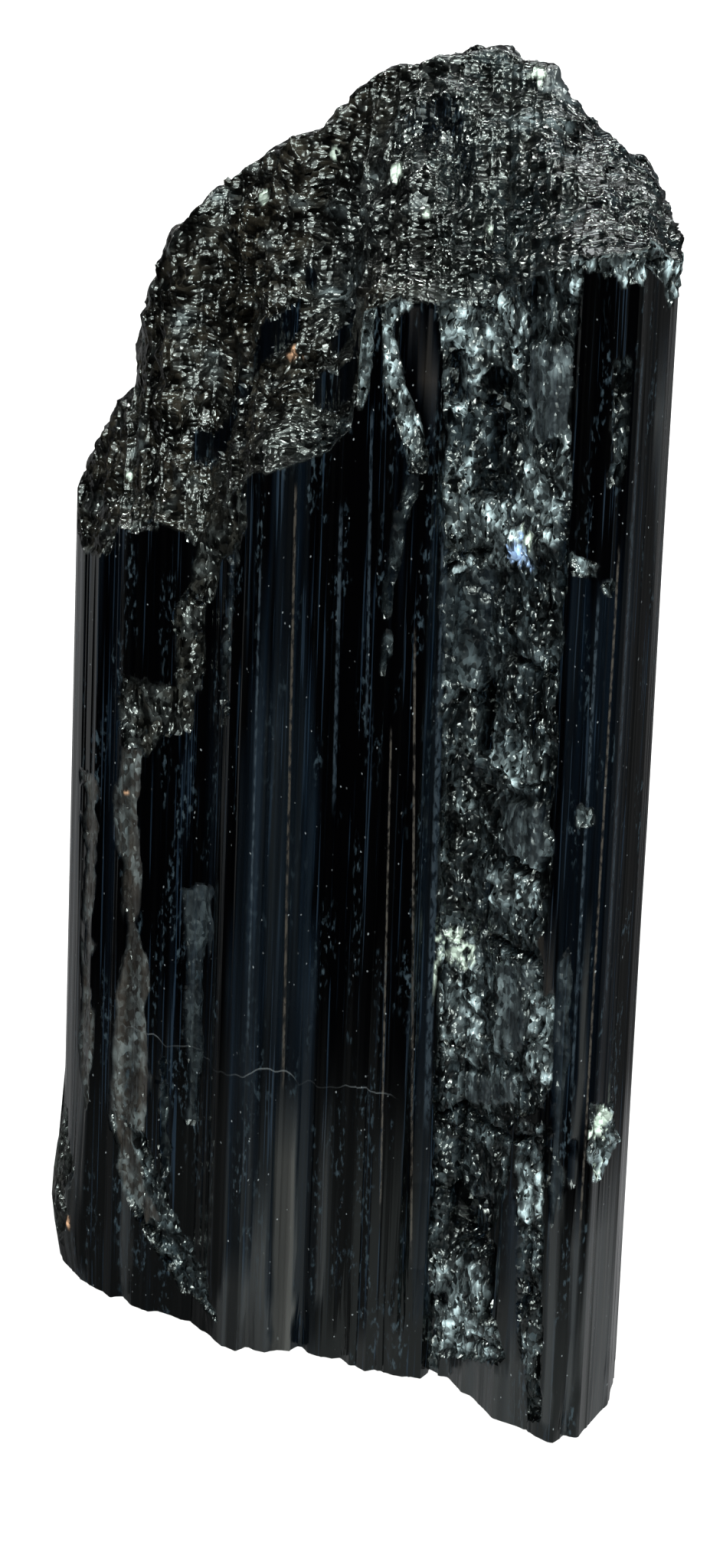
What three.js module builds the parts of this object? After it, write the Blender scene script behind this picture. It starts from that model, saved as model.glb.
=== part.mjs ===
// Black tourmaline (schorl): one natural prism, ribbed lengthwise, broken rough across its top
// and resting on a flat foot. Millimetres, +Z up, origin at the middle of the foot.
// The whole crystal grew as one piece, so it is one closed solid.
import * as THREE from 'three';

// ---- driving dimensions ----
const LEFT_EDGE = -23.45;
const RIGHT_EDGE = 23.4;
const STATION_SPACING = 1.0; // widest gap between two upright lines of the wall
const WALL_ROWS = 16; // rows between the foot and the broken rim
const BREAK_STEPS = 6; // steps from a rim to the crest, on each side of it
const RIB_DEPTH = 0.28; // height of the fine ribs between the larger ones
const BACK_SLOPE = 0.82; // fall of the break behind its crest, mm per mm
const BACK_WAVE = 1.3; // height of the waves on the break's back
const HACKLE = 0.7; // height of the waves between a rim and the crest
const LEFT_STEEPENING = 1.55; // the left of the break starts gently at its rim, then steepens
const RIGHT_STEEPENING = 1.05;
const CHIP_DEPTH = 0.75; // chips along the foot's edge
const CHIP_HEIGHT = 2.6;

// Plan of the prism: its front and its back, each from the left edge to the right edge, [x, y].
const FRONT_PLAN = [
  [LEFT_EDGE, 9.4], [-22.9, 6.6], [-21.4, 3.1], [-18.5, 1.0], [-15.7, -1.3], [-12.1, -2.3],
  [-11.1, -4.1], [-9.3, -6.3], [-6.7, -7.2], [-4.8, -6.6], [-2.1, -6.6], [1.4, -8.5],
  [5.0, -10.1], [9.5, -9.4], [10.4, -11.7], [13.0, -15.5], [15.7, -18.0], [18.3, -19.15],
  [20.0, -18.3], [20.9, -17.0], [22.6, -13.4], [23.2, -8.9], [RIGHT_EDGE, -4.8],
];
const BACK_PLAN = [
  [LEFT_EDGE, 9.4], [-22.8, 12.0], [-19.6, 14.6], [-17.2, 15.2], [-14.0, 17.5], [-10.4, 17.6],
  [-7.0, 18.9], [-2.8, 18.4], [0.5, 19.15], [4.2, 17.9], [7.2, 18.0], [10.6, 15.9],
  [13.2, 15.4], [15.9, 12.2], [18.2, 11.0], [20.2, 7.0], [21.8, 5.4], [23.1, 0.4],
  [RIGHT_EDGE, -4.8],
];

// The break: the height of its front rim by x, and its crest's height and place by x.
const FRONT_RIM = [
  [LEFT_EDGE, 70.4], [-23.1, 66.9], [-21.3, 67.2], [-20.1, 70.7], [-17.0, 72.7], [-13.1, 72.3],
  [-10.9, 77.2], [-9.1, 79.8], [-3.1, 82.2], [-1.4, 84.2], [-0.9, 94.2], [1.8, 96.3],
  [8.9, 96.3], [12.2, 100.6], [14.7, 103.6], [17.7, 105.2], [20.7, 105.4], [22.6, 102.5],
  [RIGHT_EDGE, 98.5],
];
const CREST_HEIGHT = [
  [LEFT_EDGE, 70.4], [-21.7, 74.3], [-19.9, 78.5], [-18.9, 80.0], [-18.4, 87.6], [-16.2, 93.6],
  [-12.9, 97.9], [-7.3, 102.4], [-4.3, 104.0], [-2.2, 106.9], [1.3, 109.8], [5.8, 111.5],
  [8.8, 111.6], [13.0, 111.0], [14.6, 108.7], [18.1, 106.0], [20.9, 104.4], [22.3, 102.3],
  [RIGHT_EDGE, 98.5],
];
const CREST_PLAN = [
  [LEFT_EDGE, 9.4], [-19.0, 9.9], [-15.0, 8.1], [-10.0, 8.3], [-5.0, 6.2], [0.0, 6.6],
  [5.0, 4.7], [9.5, 5.2], [14.0, 3.4], [17.0, 2.4], [22.0, -2.2], [RIGHT_EDGE, -4.8],
];

// The rough band down the front, where slivers of the crystal have split away.
const ROUGH_BAND = { left: 5.6, right: 12.6, bottom: 5, depth: 0.9, fade: 1.4 };
// The swelling low on the left edge.
const LEFT_SWELLING = { middle: 5.6, halfHeight: 6.4, depth: 1.0, reach: 4 };

// ---- small helpers ----

function heightAt(profile, x) {
  for (let i = 1; i < profile.length; i += 1) {
    const [x0, value0] = profile[i - 1];
    const [x1, value1] = profile[i];
    if (x <= x1) return value0 + (value1 - value0) * (x - x0) / (x1 - x0);
  }
  return profile[profile.length - 1][1];
}

function smooth(low, high, value) {
  return THREE.MathUtils.smoothstep(value, low, high);
}

// ---- plan ----

// Every corner of the plan and of the break gets an upright line, and wide gaps get more.
function stationPlaces() {
  const corners = [FRONT_PLAN, BACK_PLAN, FRONT_RIM, CREST_HEIGHT].flat().map(([x]) => x);
  const sorted = [...new Set(corners)].sort((a, b) => a - b);
  const wanted = sorted.filter((x, i) => i === 0 || x - sorted[i - 1] > 0.15);
  const places = [wanted[0]];
  for (let i = 1; i < wanted.length; i += 1) {
    const gap = wanted[i] - wanted[i - 1];
    const pieces = Math.ceil(gap / STATION_SPACING);
    for (let j = 1; j <= pieces; j += 1) places.push(wanted[i - 1] + gap * j / pieces);
  }
  places[places.length - 1] = RIGHT_EDGE;
  return places;
}

// Fine ribs stand out of the faces; they die away at the two edges.
function ribHeight(x) {
  const edge = smooth(0, 3, x - LEFT_EDGE) * smooth(0, 2, RIGHT_EDGE - x);
  const pattern = Math.sin(2.9 * x) + 0.7 * Math.sin(5.3 * x + 1.1);
  return RIB_DEPTH * edge * pattern * 0.6;
}

// ---- wall ----

function roughBandDepth(x, z) {
  const { left, right, bottom, depth, fade } = ROUGH_BAND;
  const across = smooth(left - fade, left, x) * (1 - smooth(right, right + fade, x));
  return depth * across * smooth(bottom, bottom + 4, z);
}

function chipDepth(x, z) {
  const pattern = Math.max(0, Math.sin(1.7 * x + 0.6) + 0.5 * Math.sin(4.1 * x));
  return CHIP_DEPTH * Math.min(pattern, 1) * (1 - smooth(0, CHIP_HEIGHT, z));
}

function leftSwelling(x, z) {
  const { middle, halfHeight, depth, reach } = LEFT_SWELLING;
  const upright = Math.max(0, 1 - ((z - middle) / halfHeight) ** 2);
  return depth * upright * (1 - smooth(0, reach, x - LEFT_EDGE));
}

function frontWallPoint(x, z) {
  const inward = roughBandDepth(x, z) + chipDepth(x, z) - ribHeight(x);
  const edge = smooth(0, 1, x - LEFT_EDGE) * smooth(0, 1, RIGHT_EDGE - x);
  return [x - leftSwelling(x, z), heightAt(FRONT_PLAN, x) + inward * edge, z];
}

function backWallPoint(x, z) {
  const inward = chipDepth(x + 9, z) - ribHeight(x + 2);
  const edge = smooth(0, 1, x - LEFT_EDGE) * smooth(0, 1, RIGHT_EDGE - x);
  return [x - leftSwelling(x, z), heightAt(BACK_PLAN, x) - inward * edge, z];
}

// ---- break ----

// The break falls away behind its crest, gently at first so that the crest is rounded.
function backFall(x, distance) {
  const wave = BACK_WAVE * Math.sin(0.45 * x + 1) * smooth(0, 8, distance);
  const rounding = 1 - Math.exp(-distance / 1.5);
  return BACK_SLOPE * (distance - rounding) + wave;
}

// Waves that cross the break, still at its rims and its crest.
function hackle(x, y, share) {
  const pattern = Math.sin(0.9 * x + 0.8 * y) + 0.7 * Math.sin(1.3 * x - 0.9 * y + 2);
  return HACKLE * pattern * Math.sin(Math.PI * share);
}

function backRimHeight(x) {
  const distance = heightAt(BACK_PLAN, x) - heightAt(CREST_PLAN, x);
  return heightAt(CREST_HEIGHT, x) - backFall(x, distance);
}

// From the front rim (0) over the crest (BREAK_STEPS) to the back rim (2 * BREAK_STEPS).
function breakPoint(x, step) {
  const crestY = heightAt(CREST_PLAN, x);
  const crestZ = heightAt(CREST_HEIGHT, x);
  if (step <= BREAK_STEPS) {
    const share = step / BREAK_STEPS;
    const [rimX, rimY, rimZ] = frontWallPoint(x, heightAt(FRONT_RIM, x));
    const steepening = THREE.MathUtils.lerp(LEFT_STEEPENING, RIGHT_STEEPENING, smooth(-4, 2, x));
    const y = rimY + (crestY - rimY) * share;
    const z = rimZ + (crestZ - rimZ) * share ** steepening;
    return [rimX, y, z + hackle(x, y, share)];
  }
  const share = (step - BREAK_STEPS) / BREAK_STEPS;
  const [rimX, rimY] = backWallPoint(x, backRimHeight(x));
  const y = crestY + (rimY - crestY) * share;
  const distance = (heightAt(BACK_PLAN, x) - crestY) * share;
  return [rimX, y, crestZ - backFall(x, distance) + hackle(x, y, share)];
}

// ---- one closed skin: foot, front wall, break, back wall ----

// A section runs round the crystal at one x: up the front, over the break, down the back.
function sectionPoints(x) {
  const points = [];
  const frontTop = heightAt(FRONT_RIM, x);
  const backTop = backRimHeight(x);
  for (let row = 0; row < WALL_ROWS; row += 1) points.push(frontWallPoint(x, frontTop * row / WALL_ROWS));
  for (let step = 0; step <= 2 * BREAK_STEPS; step += 1) points.push(breakPoint(x, step));
  for (let row = WALL_ROWS - 1; row >= 0; row -= 1) points.push(backWallPoint(x, backTop * row / WALL_ROWS));
  return points;
}

// The left and right edges are upright lines, which the front and the back share.
function edgePoints(x) {
  const top = heightAt(FRONT_RIM, x);
  const points = [];
  for (let row = 0; row <= WALL_ROWS; row += 1) points.push(frontWallPoint(x, top * row / WALL_ROWS));
  return points;
}

// Which point of an edge stands for point i of a section.
function edgeIndex(i) {
  const last = 2 * WALL_ROWS + 2 * BREAK_STEPS;
  if (i < WALL_ROWS) return i;
  if (i <= WALL_ROWS + 2 * BREAK_STEPS) return WALL_ROWS;
  return last - i;
}

function crystalGeometry() {
  const places = stationPlaces();
  const positions = [];
  const columns = places.map((x, place) => {
    const isEdge = place === 0 || place === places.length - 1;
    const points = isEdge ? edgePoints(x) : sectionPoints(x);
    const first = positions.length / 3;
    points.forEach((point) => positions.push(...point));
    const around = 2 * WALL_ROWS + 2 * BREAK_STEPS + 1;
    return Array.from({ length: around }, (_, i) => first + (isEdge ? edgeIndex(i) : i));
  });

  const triangles = [];
  const addTriangle = (a, b, c) => {
    if (a !== b && b !== c && c !== a) triangles.push(a, b, c);
  };
  for (let place = 1; place < columns.length; place += 1) {
    const left = columns[place - 1];
    const right = columns[place];
    for (let i = 0; i < left.length; i += 1) {
      const next = (i + 1) % left.length; // the last span is the foot, from the back to the front
      addTriangle(left[i], right[i], right[next]);
      addTriangle(left[i], right[next], left[next]);
    }
  }

  const geometry = new THREE.BufferGeometry();
  geometry.setAttribute('position', new THREE.Float32BufferAttribute(positions, 3));
  geometry.setIndex(triangles);
  geometry.computeBoundingBox();
  const middle = geometry.boundingBox.getCenter(new THREE.Vector3());
  geometry.translate(-middle.x, -middle.y, 0);
  geometry.computeVertexNormals();
  return geometry;
}

function schorl() {
  return new THREE.MeshStandardMaterial({ color: 0x0b1016, roughness: 0.3, metalness: 0 });
}

const crystal = new THREE.Mesh(crystalGeometry(), schorl());
crystal.name = 'crystal';

const object = new THREE.Group();
object.add(crystal);

export default object;
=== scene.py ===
"""Black tourmaline (schorl) crystal: its visual mesh, its material, a pale studio and the camera.

The CAD solid gives the shape of the walls and of the break. This script lays a finer skin over it:
ribs along the faces, rough patches, ledges and grains. Lengths are in millimetres until the mesh is made.
"""

import itertools
import math

import bpy
import numpy as np
from mathutils import Matrix, Vector
from mathutils.bvhtree import BVHTree


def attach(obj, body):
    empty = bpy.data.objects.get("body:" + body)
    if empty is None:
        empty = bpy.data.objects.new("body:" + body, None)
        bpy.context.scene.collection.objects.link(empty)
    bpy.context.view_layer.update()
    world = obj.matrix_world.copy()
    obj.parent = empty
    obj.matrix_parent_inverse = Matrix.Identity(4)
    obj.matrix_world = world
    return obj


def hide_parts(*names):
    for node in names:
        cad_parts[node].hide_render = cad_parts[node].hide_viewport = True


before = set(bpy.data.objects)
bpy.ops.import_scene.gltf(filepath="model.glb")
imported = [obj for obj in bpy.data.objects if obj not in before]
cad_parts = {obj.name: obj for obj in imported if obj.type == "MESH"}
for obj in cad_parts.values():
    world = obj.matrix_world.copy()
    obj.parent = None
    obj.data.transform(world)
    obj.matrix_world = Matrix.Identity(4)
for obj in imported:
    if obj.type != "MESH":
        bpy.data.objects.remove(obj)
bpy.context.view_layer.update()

MM = 0.001
SEED = 7

# ---- how finely the skin is laid, in mm ----
STATIONS = 420            # upright lines of the skin, on the front and on the back
SMOOTH_ROW = 8.0          # height of a row on the smooth faces
ROUGH_ROW = 0.36          # height of a row in the rough patches
BREAK_STEP = 0.40         # distance between points on the break
BREAK_LOOK = 0.09         # distance between the heights that are read off the solid
PLAN_HEIGHT = 50.0        # where the plan of the solid is read
PLAN_CENTRE = (6.5, 1.9)  # every wall of the plan can be seen from here
PLAN_RAYS = 1800
RIM_INSET = 0.2           # the break's height at its rim is read this far inside the wall
RIM_BLEND = 1.2           # the break's relief turns upright over this far from its rim
RIM_ROWS = (0.3, 0.65)    # rows this far below the rim are always there
RIM_GAP = 0.12            # no row of a wall comes closer to the rim than this
AVERAGED = 6              # readings to each side that the break's direction is averaged over
ABOVE_ALL = 112.0         # a height above the whole crystal
PLACES = 900              # places along a wall where the climb of the break is looked at
CLIMB_WEIGHT = 0.35       # how much a climb of the break draws the stations together
GRAINY = 0.3              # faces rougher than this at every corner are shaded smooth


# ---- repeatable noise ----

def hashed(seed, *cells):
    """One repeatable number from 0 to 1 for each lattice cell."""
    value = np.full(cells[0].shape, seed, np.uint32)
    for cell in cells:
        value = value ^ (cell.astype(np.int64) & 0xFFFFFFFF).astype(np.uint32)
        value = (value ^ (value >> 16)) * np.uint32(0x7FEB352D)
        value = (value ^ (value >> 15)) * np.uint32(0x846CA68B)
        value = value ^ (value >> 16)
    return value.astype(float) / 2.0 ** 32


def noise(points, size, seed):
    """Smooth noise from -1 to 1 that changes over about size mm; size may differ by axis."""
    scaled = points / np.asarray(size, float)
    cell = np.floor(scaled).astype(np.int64)
    share = scaled - cell
    share = share * share * (3 - 2 * share)
    total = np.zeros(len(points))
    for corner in itertools.product((0, 1), repeat=points.shape[1]):
        weight = np.prod(np.where(np.array(corner), share, 1 - share), axis=1)
        total += weight * hashed(SEED + seed, *(cell + corner).T)
    return total * 2 - 1


def facets(points, size, seed):
    """Height, in mm, of small flat facets about size mm wide, each tilted its own way."""
    scaled = points / size
    cell = np.floor(scaled).astype(np.int64)
    nearest = np.full(len(points), np.inf)
    height = np.zeros(len(points))
    for offset in itertools.product((-1, 0, 1), repeat=3):
        where = (cell + offset).T
        centre = np.stack([where[i] + hashed(SEED + seed + i, *where) for i in range(3)], 1)
        tilt = np.stack([hashed(SEED + seed + 3 + i, *where) * 2 - 1 for i in range(3)], 1)
        away = scaled - centre
        distance = (away ** 2).sum(1)
        level = hashed(SEED + seed + 6, *where) - 0.5
        closer = distance < nearest
        nearest = np.where(closer, distance, nearest)
        height = np.where(closer, (away * tilt).sum(1) + level, height)
    return height * size


# The noise on the break is drawn from a turned lattice, so that no rows of it line up with the view.
SLANT = np.array(Matrix.Rotation(math.radians(23), 3, "Z") @ Matrix.Rotation(math.radians(31), 3, "X"))


def ramp(value, low, high):
    """0 below low, 1 above high, and a smooth rise between."""
    share = np.clip((value - low) / (high - low), 0, 1)
    return share * share * (3 - 2 * share)


def between(value, low, high, soft):
    """1 between low and high, fading to 0 over soft just inside them."""
    return ramp(value - low, 0, soft) * ramp(high - value, 0, soft)


# ---- what is read off the CAD solid ----

def solid_tree():
    """The CAD solid in mm, ready for rays."""
    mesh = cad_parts["crystal"].data
    points = [tuple(vertex.co / MM) for vertex in mesh.vertices]
    return BVHTree.FromPolygons(points, [tuple(face.vertices) for face in mesh.polygons])


SOLID = solid_tree()


def break_look(x, y):
    """Height and upward normal of the solid's top over a place in plan; no height beside the solid."""
    hit, normal = SOLID.ray_cast(Vector((x, y, 500.0)), Vector((0, 0, -1)))[:2]
    if hit is None:
        return (np.nan, 0.0, 0.0, 1.0)
    return (hit.z, *(normal if normal.z > 0 else -normal))


def fill(values):
    """The values with each gap filled from its neighbours."""
    order = np.arange(len(values))
    known = ~np.isnan(values)
    return np.interp(order, order[known], values[known])


def solid_plan():
    """The wall all the way round at PLAN_HEIGHT, anticlockwise, as rows of x, y."""
    centre = Vector((*PLAN_CENTRE, PLAN_HEIGHT))
    points = []
    for turn in np.linspace(0, 2 * math.pi, PLAN_RAYS, endpoint=False):
        direction = Vector((math.cos(turn), math.sin(turn), 0))
        hit = SOLID.ray_cast(centre, direction)[0]
        points.append((hit.x, hit.y))
    return np.array(points)


def wall_chains():
    """The front wall and the back wall in plan, each from the left edge to the right edge."""
    plan = solid_plan()
    left = plan[:, 0].argmin()
    plan = np.roll(plan, -left, axis=0)
    right = plan[:, 0].argmax()
    front = plan[:right + 1]
    back = np.vstack([plan[right:], plan[:1]])[::-1]
    return front, back


def along(chain):
    """Distance along a chain to each of its points."""
    steps = np.linalg.norm(np.diff(chain, axis=0), axis=1)
    return np.concatenate([[0], np.cumsum(steps)])


def at(chain, distances):
    """Points of a chain at distances along it."""
    travelled = along(chain)
    return np.stack([np.interp(distances, travelled, chain[:, i]) for i in range(2)], 1)


def outward(chain, distances, side):
    """Unit normals of a chain, averaged over half a millimetre; side is +1 or -1."""
    reach = 0.25
    tangent = at(chain, distances + reach) - at(chain, distances - reach)
    normal = np.stack([tangent[:, 1], -tangent[:, 0]], 1) * side
    return normal / np.linalg.norm(normal, axis=1, keepdims=True)


# ---- stations: where the upright lines of the skin stand ----

def station_places(front, back):
    """Places 0 to 1 along both walls, closer together where the break climbs steeply."""
    places = np.linspace(0, 1, PLACES)
    front_points = at(front, places * along(front)[-1])
    back_points = at(back, places * along(back)[-1])
    heights = []
    for share in (0.3, 0.5, 0.7):
        middle = front_points + (back_points - front_points) * share
        heights.append([break_look(x, y)[0] for x, y in middle[2:-2]])
    climb = np.abs(np.diff(np.nan_to_num(heights), axis=1)).max(0)
    climb = np.concatenate([[0, 0], climb, [0, 0, 0]])[:len(places) - 1]
    stride = along(front)[-1] / len(places)
    travelled = np.concatenate([[0], np.cumsum(np.hypot(stride, CLIMB_WEIGHT * climb))])
    return np.interp(np.linspace(0, travelled[-1], STATIONS), travelled, places)


class Wall:
    """One wall of the solid, seen as a row of stations with the solid's own relief."""

    LEVELS = np.concatenate([[0.03], np.arange(2.5, 110, 2.5)])
    PROBE = 2.5  # mm outside the wall where each look at it starts

    def __init__(self, chain, places, side):
        self.distances = places * along(chain)[-1]
        self.plan = at(chain, self.distances)
        self.normal = outward(chain, self.distances, side)
        self.inset = self.plan - self.normal * RIM_INSET
        self.rim = fill(np.array([break_look(x, y)[0] for x, y in self.inset]))
        self.relief = np.array([self.relief_of(i) for i in range(len(places))])

    def relief_of(self, i):
        """How far the solid stands out from the plan at each level of one station."""
        start = self.plan[i] + self.normal[i] * self.PROBE
        inward = Vector((*-self.normal[i], 0))
        relief = []
        for level in self.LEVELS:
            height = min(level, self.rim[i] - 0.6)
            distance = SOLID.ray_cast(Vector((*start, height)), inward, 2 * self.PROBE)[3]
            relief.append(0.0 if distance is None else self.PROBE - distance)
        return np.array(relief)


# ---- the front wall's patches and slots: x and height in mm ----

# What each kind of patch is like: rough, satin, warm, glitter, pale, and how far it is sunk in.
KINDS = {
    "smooth": (0.0, 0.0, 0.5, 0.0, 0.0, 0.0),
    "fine": (1.0, 0.0, 0.10, 0.35, 0.07, 0.35),
    "beads": (1.0, 0.0, 0.20, 1.0, 0.76, 0.15),
    "blue": (0.6, 0.7, 0.0, 0.15, 0.12, 0.50),
    "dark": (1.0, 0.0, 0.1, 0.1, 0.0, 0.75),
    "brown": (1.0, 0.0, 1.0, 0.20, 0.05, 0.35),
    # Bright patches: clusters of glints painted as pale colour, beside their real glitter.
    "bright": (1.0, 0.0, 0.1, 1.0, 1.0, -0.05),
    "slab": (0.3, 0.9, 0.1, 0.15, 0.50, 0.10),
    # Satin and soft faces are rougher; their dark blue colour is a painted sheen.
    "satin": (0.0, 0.8, 0.3, 0.0, 0.0, 0.0),
    "soft": (0.0, 0.4, 0.3, 0.0, 0.0, 0.0),
    "tan": (0.0, 0.7, 1.0, 0.0, 0.30, 0.0),
    # Pale grey strips at the foot and along the edges: painted reflections of the pale floor and
    # surroundings.
    "dust_and_reflection": (0.0, 0.9, 0.5, 0.0, 0.42, 0.0),
    "mud": (0.20, 1.0, 1.0, 0.1, 0.50, 0.20),
    "slate": (0.16, 0.9, 0.0, 0.1, 0.22, 0.30),
    # A pale strip up from the foot: a painted reflection of the pale floor.
    "floor_reflection": (0.0, 1.0, 0.5, 0.0, 1.0, 0.0),
}

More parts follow.
